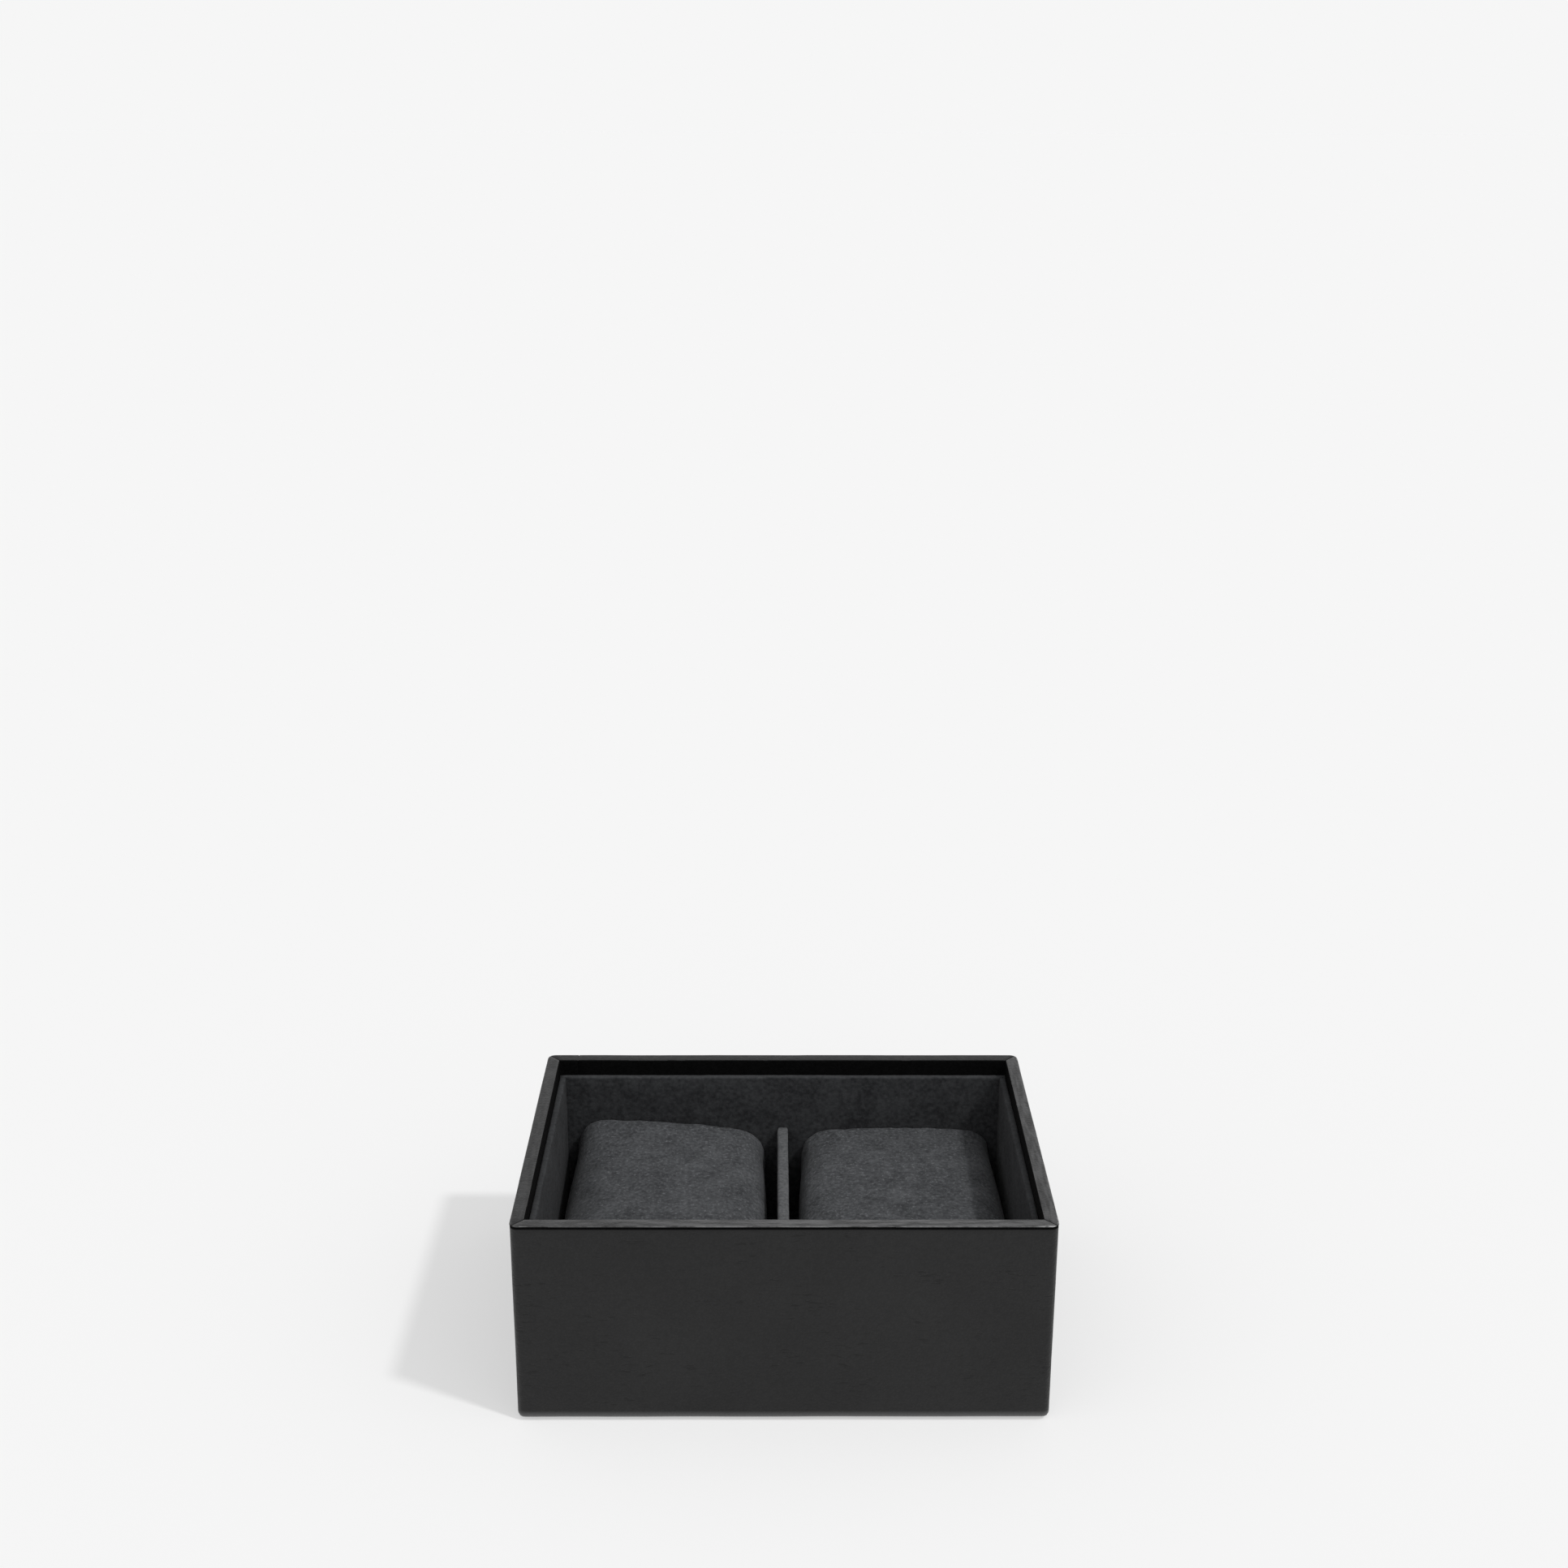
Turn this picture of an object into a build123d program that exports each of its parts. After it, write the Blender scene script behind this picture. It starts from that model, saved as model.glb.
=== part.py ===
from build123d import *
import os

# A small open jewellery tray that stacks: mitred boards wrapped in leatherette, four velvet
# liners, two velvet floor pads, a low divider and two loose velvet cushions for bracelets.
# Millimetres, +Z up, front towards -Y, origin on the ground under the middle of the case.

# Case of boards
case_width = 180.0
case_depth = 125.0
case_height = 75.0
board_thickness = 4.0
base_board_thickness = 4.0
rabbet_depth = 2.0
corner_radius = 2.8
rim_radius = 1.2
base_radius = 2.0
glue_gap = 0.1

# Leatherette wrap
leather_thickness = 0.4
turn_in_depth = 20.0
hem_width = 12.0
seam_gap = 0.3
seam_offset = 9.0

# Felt under the case
felt_thickness = 0.8
felt_inset = 3.0
felt_corner_radius = 3.0

# Velvet liners on the four walls
velvet_thickness = 0.4
recess_depth = 6.0
liner_card_thickness = 1.6
liner_flap_depth = 12.0
liner_edge_radius = 0.8

# Floor pads
pad_card_thickness = 1.6
pad_foam_thickness = 2.0
pad_clearance = 0.3
pad_edge_radius = 1.2

# Divider
divider_board_thickness = 3.2
divider_drop = 27.3
divider_edge_radius = 1.0
divider_clearance = 0.3

# Cushions
cushion_side_gap = 4.0
cushion_front_gap = 9.3
cushion_rear_gap = 1.5
cushion_height = 39.4
cushion_rest_gap = 0.3
cushion_swell = 1.8
cushion_rise = 0.8
cushion_crown = 1.4
cushion_side_bulge = 0.8
cushion_shoulder_radius = 9.5
cushion_foot_radius = 8.0
cushion_stations = 7
cover_thickness = 0.6
foam_clearance = 0.1
end_panel_thickness = 1.6
end_edge_chamfer = 0.9

# Sizes of the boards, worked out from the outside in
board_width = case_width - 2 * leather_thickness
board_depth = case_depth - 2 * leather_thickness
board_bottom = felt_thickness + leather_thickness
board_top = case_height - leather_thickness
well_width = board_width - 2 * board_thickness
well_depth = board_depth - 2 * board_thickness
rabbet_width = well_width + 2 * rabbet_depth
rabbet_length = well_depth + 2 * rabbet_depth
floor_level = board_bottom + base_board_thickness

# Clear space inside the turned-in leatherette, and inside the liners
turned_width = well_width - 2 * leather_thickness
turned_depth = well_depth - 2 * leather_thickness
turn_in_level = case_height - turn_in_depth
liner_thickness = liner_card_thickness + 2 * velvet_thickness
liner_height = case_height - recess_depth - floor_level
lined_width = turned_width - 2 * liner_thickness
lined_depth = turned_depth - 2 * liner_thickness

# Compartments either side of the divider
divider_thickness = divider_board_thickness + 2 * velvet_thickness
divider_height = case_height - divider_drop - floor_level
compartment_width = (lined_width - divider_thickness) / 2
compartment_middle = (lined_width + divider_thickness) / 4
pad_width = compartment_width - 2 * pad_clearance
pad_depth = lined_depth - 2 * pad_clearance
pad_height = pad_card_thickness + pad_foam_thickness + velvet_thickness
pad_level = floor_level + pad_height

# Cushions standing on the pads
cushion_level = pad_level + cushion_rest_gap
cushion_width = compartment_width - 2 * cushion_side_gap - 2 * cushion_swell
cushion_rear = lined_depth / 2 - cushion_rear_gap
cushion_front = cushion_front_gap - lined_depth / 2
tube_rear = cushion_rear - end_panel_thickness
tube_front = cushion_front + end_panel_thickness
tube_middle = (tube_rear + tube_front) / 2


def save(piece, name):
    piece.part.label = name
    export_step(piece.part, f"parts/{name}.step")


os.makedirs("parts", exist_ok=True)


# Frame of four walls in one ring, rabbeted inside its foot for the base board
with BuildPart() as board_ring:
    with BuildSketch(Plane.XY.offset(board_bottom)):
        RectangleRounded(board_width, board_depth, corner_radius - leather_thickness)
        Rectangle(well_width, well_depth, mode=Mode.SUBTRACT)
    extrude(amount=board_top - board_bottom)
    fillet(board_ring.faces().sort_by(Axis.Z)[-1].edges(), rim_radius - leather_thickness)
    fillet(board_ring.faces().sort_by(Axis.Z)[0].outer_wire().edges(), base_radius - leather_thickness)
    with BuildSketch(Plane.XY.offset(board_bottom)):
        Rectangle(rabbet_width, rabbet_length)
    extrude(amount=base_board_thickness, mode=Mode.SUBTRACT)


# Each wall is the stretch of the ring between two mitred corners
def make_wall(name, corner_signs, into_x, into_y):
    with BuildPart() as wall:
        add(board_ring.part)
        for side_x, side_y in corner_signs:
            corner = (side_x * board_width / 2, side_y * board_depth / 2, 0)
            into_wall = (side_x * into_x, side_y * into_y, 0)
            split(bisect_by=Plane(origin=corner, z_dir=into_wall), keep=Keep.TOP)
    save(wall, name)


make_wall("front_board", [(-1, -1), (1, -1)], -1, 1)
make_wall("rear_board", [(-1, 1), (1, 1)], -1, 1)
make_wall("left_board", [(-1, -1), (-1, 1)], 1, -1)
make_wall("right_board", [(1, -1), (1, 1)], 1, -1)


# Base board, glued up into the rabbets
with BuildPart() as base_board:
    with BuildSketch(Plane.XY.offset(board_bottom)):
        Rectangle(rabbet_width - 2 * glue_gap, rabbet_length - 2 * glue_gap)
    extrude(amount=base_board_thickness)
save(base_board, "base_board")


# One sheet of leatherette: round the outside, over the rim, turned in, and hemmed under the base
with BuildPart() as leather_wrap:
    with BuildSketch(Plane.XY.offset(felt_thickness)):
        RectangleRounded(case_width, case_depth, corner_radius)
        Rectangle(turned_width, turned_depth, mode=Mode.SUBTRACT)
    extrude(amount=case_height - felt_thickness)
    fillet(leather_wrap.faces().sort_by(Axis.Z)[-1].edges(), rim_radius)
    fillet(leather_wrap.faces().sort_by(Axis.Z)[0].outer_wire().edges(), base_radius)
    with BuildSketch(Plane.XY.offset(felt_thickness)):
        Rectangle(rabbet_width, rabbet_length)
    extrude(amount=leather_thickness)
    add(board_ring.part, mode=Mode.SUBTRACT)
    with BuildSketch(Plane.XY.offset(board_bottom)):
        Rectangle(rabbet_width, rabbet_length)
    extrude(amount=base_board_thickness, mode=Mode.SUBTRACT)
    with BuildSketch(Plane.XY.offset(board_bottom)):
        Rectangle(well_width, well_depth)
    extrude(amount=turn_in_level - board_bottom, mode=Mode.SUBTRACT)
    with BuildSketch(Plane.XY.offset(felt_thickness)):
        Rectangle(case_width - 2 * hem_width, case_depth - 2 * hem_width)
        with Locations((corner_radius + seam_offset - case_width / 2, (case_depth - hem_width) / 2)):
            Rectangle(seam_gap, hem_width)
    extrude(amount=case_height - felt_thickness, mode=Mode.SUBTRACT)
save(leather_wrap, "leather_wrap")


# Felt sheet under the case, pressed up inside the hem
hem_and_gap = hem_width + glue_gap
with BuildPart() as base_felt:
    with BuildSketch(Plane.XY):
        RectangleRounded(case_width - 2 * felt_inset, case_depth - 2 * felt_inset, felt_corner_radius)
    extrude(amount=felt_thickness)
    with BuildSketch(Plane.XY.offset(felt_thickness)):
        Rectangle(case_width - 2 * hem_and_gap, case_depth - 2 * hem_and_gap)
    extrude(amount=leather_thickness)
save(base_felt, "base_felt")


# A liner is a card with velvet on its face, over its top and a short way down its back.
# Its plane has x into the box, y up and z along the wall.
def make_liner(side, wall_plane, length):
    card_height = liner_height - velvet_thickness
    with BuildSketch(wall_plane) as card_profile:
        with Locations((liner_thickness / 2, card_height / 2)):
            Rectangle(liner_card_thickness, card_height)
        fillet(card_profile.vertices().group_by(Axis.Y)[-1], liner_edge_radius - velvet_thickness)
    with BuildSketch(wall_plane) as velvet_profile:
        with Locations((liner_thickness / 2, liner_height / 2)):
            Rectangle(liner_thickness, liner_height)
        fillet(velvet_profile.vertices().group_by(Axis.Y)[-1], liner_edge_radius)
        add(card_profile.sketch_local, mode=Mode.SUBTRACT)
        with Locations((0, (liner_height - liner_flap_depth) / 2)):
            Rectangle(2 * velvet_thickness, liner_height - liner_flap_depth, mode=Mode.SUBTRACT)
    with BuildPart() as card:
        extrude(card_profile.sketch, amount=length / 2, both=True)
    save(card, f"{side}_liner_card")
    with BuildPart() as velvet:
        extrude(velvet_profile.sketch, amount=length / 2, both=True)
    save(velvet, f"{side}_liner_velvet")


long_liner = turned_width - 2 * glue_gap
short_liner = lined_depth - 2 * glue_gap
front_foot = (0, -turned_depth / 2, floor_level)
rear_foot = (0, turned_depth / 2, floor_level)
left_foot = (-turned_width / 2, 0, floor_level)
right_foot = (turned_width / 2, 0, floor_level)
make_liner("front", Plane(front_foot, x_dir=(0, 1, 0), z_dir=(1, 0, 0)), long_liner)
make_liner("rear", Plane(rear_foot, x_dir=(0, -1, 0), z_dir=(-1, 0, 0)), long_liner)
make_liner("left", Plane(left_foot, x_dir=(1, 0, 0), z_dir=(0, -1, 0)), short_liner)
make_liner("right", Plane(right_foot, x_dir=(-1, 0, 0), z_dir=(0, 1, 0)), short_liner)


# Divider: a board on edge, velvet on both faces and over the top
with BuildPart() as divider_board:
    with BuildSketch(Plane.XY.offset(floor_level)):
        Rectangle(divider_board_thickness, lined_depth - 2 * divider_clearance)
    extrude(amount=divider_height - velvet_thickness)
    board_top_face = divider_board.faces().sort_by(Axis.Z)[-1]
    fillet(board_top_face.edges().filter_by(Axis.Y), divider_edge_radius - velvet_thickness)
save(divider_board, "divider_board")

with BuildPart() as divider_velvet:
    with BuildSketch(Plane.XY.offset(floor_level)):
        Rectangle(divider_thickness, lined_depth - 2 * divider_clearance)
    extrude(amount=divider_height)
    velvet_top_face = divider_velvet.faces().sort_by(Axis.Z)[-1]
    fillet(velvet_top_face.edges().filter_by(Axis.Y), divider_edge_radius)
    add(divider_board.part, mode=Mode.SUBTRACT)
save(divider_velvet, "divider_velvet")


# Floor pad of one compartment: card, thin foam, and velvet over the top and down the sides
def make_floor_pad(side, middle_x):
    inner_width = pad_width - 2 * velvet_thickness
    inner_depth = pad_depth - 2 * velvet_thickness
    with BuildPart() as card:
        with BuildSketch(Plane((middle_x, 0, floor_level))):
            Rectangle(inner_width, inner_depth)
        extrude(amount=pad_card_thickness)
    save(card, f"{side}_floor_card")
    with BuildPart() as foam:
        with BuildSketch(Plane((middle_x, 0, floor_level + pad_card_thickness))):
            Rectangle(inner_width, inner_depth)
        extrude(amount=pad_foam_thickness)
        fillet(foam.faces().sort_by(Axis.Z)[-1].edges(), pad_edge_radius - velvet_thickness)
    save(foam, f"{side}_floor_foam")
    with BuildPart() as velvet:
        with BuildSketch(Plane((middle_x, 0, floor_level))):
            Rectangle(pad_width, pad_depth)
        extrude(amount=pad_height)
        fillet(velvet.faces().sort_by(Axis.Z)[-1].edges(), pad_edge_radius)
        add(card.part, mode=Mode.SUBTRACT)
        add(foam.part, mode=Mode.SUBTRACT)
    save(velvet, f"{side}_floor_velvet")


# Outline of a cushion across its length: flat foot, bulging sides, broad shoulders, crowned top.
# The swell widens the outline and the rise lifts its top, both most at mid-length.
def cushion_outline(middle_x, station_y, swell, rise, inset):
    half_width = cushion_width / 2 + swell
    height = cushion_height - cushion_rise + rise
    shoulder = height - cushion_crown
    foot_plane = Plane((middle_x, station_y, cushion_level), x_dir=(1, 0, 0), z_dir=(0, -1, 0))
    with BuildSketch(foot_plane) as outline:
        with BuildLine():
            Line((-half_width, 0), (half_width, 0))
            right_belly = (half_width + cushion_side_bulge, shoulder / 2)
            ThreePointArc((half_width, 0), right_belly, (half_width, shoulder))
            ThreePointArc((half_width, shoulder), (0, height), (-half_width, shoulder))
            left_belly = (-half_width - cushion_side_bulge, shoulder / 2)
            ThreePointArc((-half_width, shoulder), left_belly, (-half_width, 0))
        make_face()
        fillet(outline.vertices().group_by(Axis.Y)[-1], cushion_shoulder_radius)
        fillet(outline.vertices().group_by(Axis.Y)[0], cushion_foot_radius)
        if inset > 0:
            offset(amount=-inset, mode=Mode.REPLACE)
    return outline.sketch


# A cushion is a foam block in a sewn tube of velvet, closed by a panel at each end.
# The tube is fullest at mid-length and slims to both ends in even steps.
def make_cushion(side, middle_x):
    def tube(inset, end_gap):
        half_length = (tube_rear - tube_front) / 2 - end_gap
        outlines = []
        for station in range(cushion_stations):
            along_share = 2 * station / (cushion_stations - 1) - 1
            full_share = 1 - along_share**2
            station_y = tube_middle + along_share * half_length
            swell = cushion_swell * full_share
            outlines.append(cushion_outline(middle_x, station_y, swell, cushion_rise * full_share, inset))
        return outlines

    with BuildPart() as cover:
        loft(tube(0, 0), ruled=True)
        loft(tube(cover_thickness, 0), ruled=True, mode=Mode.SUBTRACT)
    save(cover, f"{side}_cushion_cover")
    with BuildPart() as foam:
        loft(tube(cover_thickness + foam_clearance, foam_clearance), ruled=True)
    save(foam, f"{side}_cushion_foam")
    with BuildPart() as rear_end:
        extrude(cushion_outline(middle_x, tube_rear, 0, 0, 0), amount=-end_panel_thickness)
        chamfer(rear_end.faces().sort_by(Axis.Y)[-1].edges(), end_edge_chamfer)
    save(rear_end, f"{side}_cushion_rear_end")
    with BuildPart() as front_end:
        extrude(cushion_outline(middle_x, tube_front, 0, 0, 0), amount=end_panel_thickness)
        chamfer(front_end.faces().sort_by(Axis.Y)[0].edges(), end_edge_chamfer)
    save(front_end, f"{side}_cushion_front_end")


for side, middle_x in [("left", -compartment_middle), ("right", compartment_middle)]:
    make_floor_pad(side, middle_x)
    make_cushion(side, middle_x)
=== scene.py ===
import math

import bmesh
import bpy
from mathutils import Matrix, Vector, noise


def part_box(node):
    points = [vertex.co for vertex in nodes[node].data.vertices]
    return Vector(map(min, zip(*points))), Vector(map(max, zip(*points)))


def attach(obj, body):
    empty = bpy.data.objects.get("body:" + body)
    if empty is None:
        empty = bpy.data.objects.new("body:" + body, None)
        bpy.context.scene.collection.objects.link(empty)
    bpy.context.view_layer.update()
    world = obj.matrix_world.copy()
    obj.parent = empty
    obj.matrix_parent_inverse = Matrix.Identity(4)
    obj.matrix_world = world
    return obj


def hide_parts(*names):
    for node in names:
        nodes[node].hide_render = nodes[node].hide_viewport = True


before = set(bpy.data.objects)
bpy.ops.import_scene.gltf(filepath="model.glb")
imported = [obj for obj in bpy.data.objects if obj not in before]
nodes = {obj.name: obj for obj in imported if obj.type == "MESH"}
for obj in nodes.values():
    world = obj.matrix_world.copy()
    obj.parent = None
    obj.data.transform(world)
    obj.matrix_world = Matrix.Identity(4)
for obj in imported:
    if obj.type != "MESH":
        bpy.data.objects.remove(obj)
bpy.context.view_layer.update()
mm = 0.001
hair = 1e-7                     # metres: shorter than this is nothing
same = 1e-6                     # places this close are one place
beside = 1e-5                   # and these are, after a cut
sides = ("left", "right")
walls = ("front", "rear", "left", "right")
wrapLow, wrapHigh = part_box("leather_wrap")


# small helpers for meshes

def nodeBox(*names):
    corners = [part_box(name) for name in names]
    low = Vector([min(c[0][i] for c in corners) for i in range(3)])
    high = Vector([max(c[1][i] for c in corners) for i in range(3)])
    return low, high


def blockMesh(low, high):
    bm = bmesh.new()
    bmesh.ops.create_cube(bm, size=1.0)
    bmesh.ops.scale(bm, vec=high - low, verts=bm.verts)
    bmesh.ops.translate(bm, vec=(low + high) / 2, verts=bm.verts)
    return bm


def edgesAlong(bm, axis, test=lambda middle: True, shortest=hair):
    straight = 0.98
    found = []
    for edge in bm.edges:
        run = edge.verts[1].co - edge.verts[0].co
        length = run.length
        if length <= shortest or abs(run[axis]) < straight * length:
            continue
        if test((edge.verts[0].co + edge.verts[1].co) / 2):
            found.append(edge)
    return found


def edgesAt(bm, height):
    return [e for e in bm.edges if all(abs(v.co.z - height) < same for v in e.verts)]


def foldsAt(bm, height):
    return [e for e in edgesAt(bm, height)
            if len(e.link_faces) == 2 and any(abs(f.normal.z) < 0.5 for f in e.link_faces)]


def roundEdges(bm, edges, radius, segments):
    return bmesh.ops.bevel(bm, geom=edges, offset=radius, offset_type="OFFSET",
                           segments=segments, profile=0.5, affect="EDGES", material=-1,
                           clamp_overlap=False)


def cutIntoCells(bm, cell, paired=False):
    for axis in range(3):
        longEdges = edgesAlong(bm, axis, shortest=2.5 * cell)
        if longEdges:
            cells = max(edge.calc_length() for edge in longEdges) / cell
            cells = 2 * round(cells / 2) if paired else round(cells)
            bmesh.ops.subdivide_edges(bm, edges=longEdges, cuts=max(1, cells - 1))


def cutAcross(bm, faces, place, normal):
    edges = dict.fromkeys(e for f in faces for e in f.edges)
    verts = dict.fromkeys(v for f in faces for v in f.verts)
    bmesh.ops.bisect_plane(bm, geom=[*faces, *edges, *verts], dist=hair, plane_co=place,
                           plane_no=normal)


def facesAt(bm, axis, value):
    return [f for f in bm.faces if all(abs(v.co[axis] - value) < beside for v in f.verts)]


def dropFaces(bm, faces):
    bmesh.ops.delete(bm, geom=faces, context="FACES")


def finishPiece(bm, name, material, smooth=True):
    bmesh.ops.recalc_face_normals(bm, faces=bm.faces)
    for face in bm.faces:
        face.smooth = smooth
    mesh = bpy.data.meshes.new(name)
    bm.to_mesh(mesh)
    bm.free()
    mesh.materials.append(material)
    obj = bpy.data.objects.new(name, mesh)
    bpy.context.scene.collection.objects.link(obj)
    return obj


def thicken(obj, thickness, even=True):
    wall = obj.modifiers.new("thickness", "SOLIDIFY")
    wall.thickness = thickness
    wall.offset = -1.0
    wall.use_even_offset = even


# small helpers for materials

def newMaterial(name):
    material = bpy.data.materials.new(name)
    material.use_nodes = True
    tree = material.node_tree
    shader = tree.nodes["Principled BSDF"]
    where = tree.nodes.new("ShaderNodeTexCoord")
    return material, tree, shader, where.outputs["Object"]


def splitAxes(tree, where):
    axes = tree.nodes.new("ShaderNodeSeparateXYZ")
    tree.links.new(where, axes.inputs["Vector"])
    return axes.outputs


def noiseField(tree, where, size, detail=3.0, stretch=(1.0, 1.0, 1.0), offset=0.0):
    spread = tree.nodes.new("ShaderNodeMapping")
    spread.inputs["Scale"].default_value = stretch
    spread.inputs["Location"].default_value = (offset, offset, offset)
    field = tree.nodes.new("ShaderNodeTexNoise")
    field.inputs["Scale"].default_value = 1.0 / size
    field.inputs["Detail"].default_value = detail
    tree.links.new(where, spread.inputs["Vector"])
    tree.links.new(spread.outputs["Vector"], field.inputs["Vector"])
    return field.outputs["Fac"]


def rampBetween(tree, fac, span, first, second):
    ramp = tree.nodes.new("ShaderNodeValToRGB")
    tree.links.new(fac, ramp.inputs["Fac"])
    for element, position, colour in zip(ramp.color_ramp.elements, span, (first, second)):
        element.position = position
        element.color = (*colour, 1.0)
    return ramp.outputs["Color"]


def spanValue(tree, fac, low, high, fromLow=0.0, fromHigh=1.0):
    span = tree.nodes.new("ShaderNodeMapRange")
    span.inputs["From Min"].default_value = fromLow
    span.inputs["From Max"].default_value = fromHigh
    span.inputs["To Min"].default_value = low
    span.inputs["To Max"].default_value = high
    tree.links.new(fac, span.inputs["Value"])
    return span.outputs["Result"]


def bumpFrom(tree, height, distance, strength=1.0, below=None):
    bump = tree.nodes.new("ShaderNodeBump")
    bump.inputs["Distance"].default_value = distance
    bump.inputs["Strength"].default_value = strength
    tree.links.new(height, bump.inputs["Height"])
    if below is not None:
        tree.links.new(below, bump.inputs["Normal"])
    return bump.outputs["Normal"]


def plug(tree, socket, value):
    if isinstance(value, bpy.types.NodeSocket):
        tree.links.new(value, socket)
    elif isinstance(value, tuple):
        socket.default_value = (*value, 1.0)
    else:
        socket.default_value = value


def mixColours(tree, fac, first, second):
    mix = tree.nodes.new("ShaderNodeMix")
    mix.data_type = "RGBA"
    for place, value in ((0, fac), (6, first), (7, second)):
        plug(tree, mix.inputs[place], value)
    return mix.outputs[2]


def mathOf(tree, operation, first, second=0.0):
    step = tree.nodes.new("ShaderNodeMath")
    step.operation = operation
    plug(tree, step.inputs[0], first)
    plug(tree, step.inputs[1], second)
    return step.outputs["Value"]


def times(tree, first, second):
    return mathOf(tree, "MULTIPLY", first, second)


def plus(tree, first, second):
    return mathOf(tree, "ADD", first, second)


def minus(tree, first, second):
    return mathOf(tree, "SUBTRACT", first, second)


def blendOf(tree, share, first, second):
    kept = times(tree, minus(tree, 1.0, share), first)
    return plus(tree, times(tree, share, second), kept)


# leatherette

leatherLook = {
    "dark": (0.0054, 0.0054, 0.0056),
    "pale": (0.0106, 0.0106, 0.0108),
    "pebble": 0.85 * mm,
    "pebbleSoft": 0.35,
    "pebbleSpan": (0.0, 0.8),
    "pebbleHeight": 0.07 * mm,
    "cloudSize": 2.4 * mm,
    "broadSize": 42 * mm,
    "toneShares": (0.2, 0.3, 0.5),  # pebbles, clouds and broad patches in its tone
    "toneSpan": (0.38, 0.66),
    # crease: near-black painted shade in the creases and under the rim's pressed line; it also
    # darkens the mitre joints
    "crease": (0.0018, 0.0018, 0.0018),
    "creaseSize": 0.9 * mm,
    "creaseStretch": 0.22,      # creases run level round the walls
    "creaseSpan": (0.60, 0.68),
    "creaseHeight": 0.085 * mm,
    # creaseShade: how strongly the creases are painted in shade
    "creaseShade": 0.85,
    "patchSize": 15 * mm,       # and lie in patches
    "patchSpan": (0.50, 0.60),
    "lipDrop": 0.75 * mm,       # the line pressed in below the rim
    "lipHalf": 0.5 * mm,
    "lipRise": 0.65 * mm,       # how far above the line the painted shade reaches
    "lipFade": 1.9 * mm,        # how far down the wall the painted shade below the line fades
    "lipShade": 0.9,
    "rimFrom": 1.0 * mm,        # the rubbed rim begins this far below its top
    "rimFull": 0.2 * mm,
    # worn: the paler rim, partly rubbed wear and partly painted light
    "wearAndLight": (0.094, 0.094, 0.096),
    "frontPaler": 0.95,          # how much of the front rim and the side rims is painted paler: rubbed wear and painted light
    "sidesPaler": 0.58,
    "wornTurn": 1 * mm,
    "cornerTurn": 0.1 * mm,
    "leftLitShare": 0.32,           # painted light: the rim is paler towards the right, where the light falls; at the left end it keeps only this share
    "litFullFrom": -20 * mm,
    "rubSize": 1.3 * mm,        # it is rubbed in streaks along its length
    "rubStretch": 0.14,
    "rubLeast": 0.25,
    "rubSpan": (0.38, 0.6),
    "unwornRough": 0.1,         # the rear rim keeps its matt face
    # edge: painted highlight on the rim's outer edge, with faint scuffs
    "edge": (0.42, 0.42, 0.42),
    "edgeReach": 0.7 * mm,      # how far the painted highlight along the rim's outer edge reaches, with faint scuffs
    "edgeRough": 0.1,
    "scuffSize": 2.2 * mm,
    "scuffShare": 0.18,
    "scuffSpan": (0.45, 0.62),
    "glintReach": 9 * mm,       # the painted highlight is brightest, as glints, near the corners
    "glintFull": 2 * mm,
    "glintSpan": (0.42, 0.5),
    # foot: painted reflection of the floor on the bottom fold
    "foot": (0.092, 0.092, 0.093),
    "footReach": 3.3 * mm,      # how far up the wall the painted reflection of the floor reaches on the bottom fold
    "mitreHalf": 0.13 * mm,     # the cut where the turned leather meets at each corner of the rim
    "mitreShade": 0.5,
    "roughLow": 0.39,
    "roughHigh": 0.45,
    "roughSpan": (0.35, 0.65),
    "specular": 0.28,
}
lipHeight = wrapHigh.z - leatherLook["lipDrop"]


def pebbleDomes(tree, where):
    pebbles = tree.nodes.new("ShaderNodeTexVoronoi")
    pebbles.feature = "SMOOTH_F1"
    pebbles.inputs["Scale"].default_value = 1.0 / leatherLook["pebble"]
    pebbles.inputs["Smoothness"].default_value = leatherLook["pebbleSoft"]
    tree.links.new(where, pebbles.inputs["Vector"])
    return spanValue(tree, pebbles.outputs["Distance"], 1.0, 0.0, *leatherLook["pebbleSpan"])


def leatherTone(tree, where, domes, cloudy):
    look = leatherLook
    broad = noiseField(tree, where, look["broadSize"], 2.0, offset=0.4)
    domeShare, cloudShare, broadShare = look["toneShares"]
    tone = plus(tree, times(tree, domes, domeShare), times(tree, cloudy, cloudShare))
    tone = plus(tree, tone, times(tree, broad, broadShare))
    return rampBetween(tree, tone, look["toneSpan"], look["dark"], look["pale"])


def creases(tree, where):
    look = leatherLook
    stretch = (look["creaseStretch"], look["creaseStretch"], 1.0)
    lines = noiseField(tree, where, look["creaseSize"], 1.0, stretch=stretch, offset=0.07)
    patch = noiseField(tree, where, look["patchSize"], 2.0, offset=0.9)
    return times(tree, spanValue(tree, lines, 0.0, 1.0, *look["creaseSpan"]),
                 spanValue(tree, patch, 0.0, 1.0, *look["patchSpan"]))


def lipShadow(tree, height):
    below = minus(tree, lipHeight, height)
    rise = leatherLook["lipRise"]
    return times(tree, spanValue(tree, below, 1.0, 0.0, 0.0, leatherLook["lipFade"]),
                 spanValue(tree, below, 0.0, 1.0, -rise, -0.7 * rise))


def rimStreaks(tree, where, aside):
    look = leatherLook
    stretch = look["rubStretch"]
    streaks = [noiseField(tree, where, look["rubSize"], 3.0, stretch=along, offset=0.6)
               for along in ((stretch, 1.0, 1.0), (1.0, stretch, 1.0))]
    return spanValue(tree, blendOf(tree, aside, *streaks), look["rubLeast"], 1.0, *look["rubSpan"])


# painted highlight on the rim's outer edge: glints near the corners and faint scuffs along it
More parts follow.
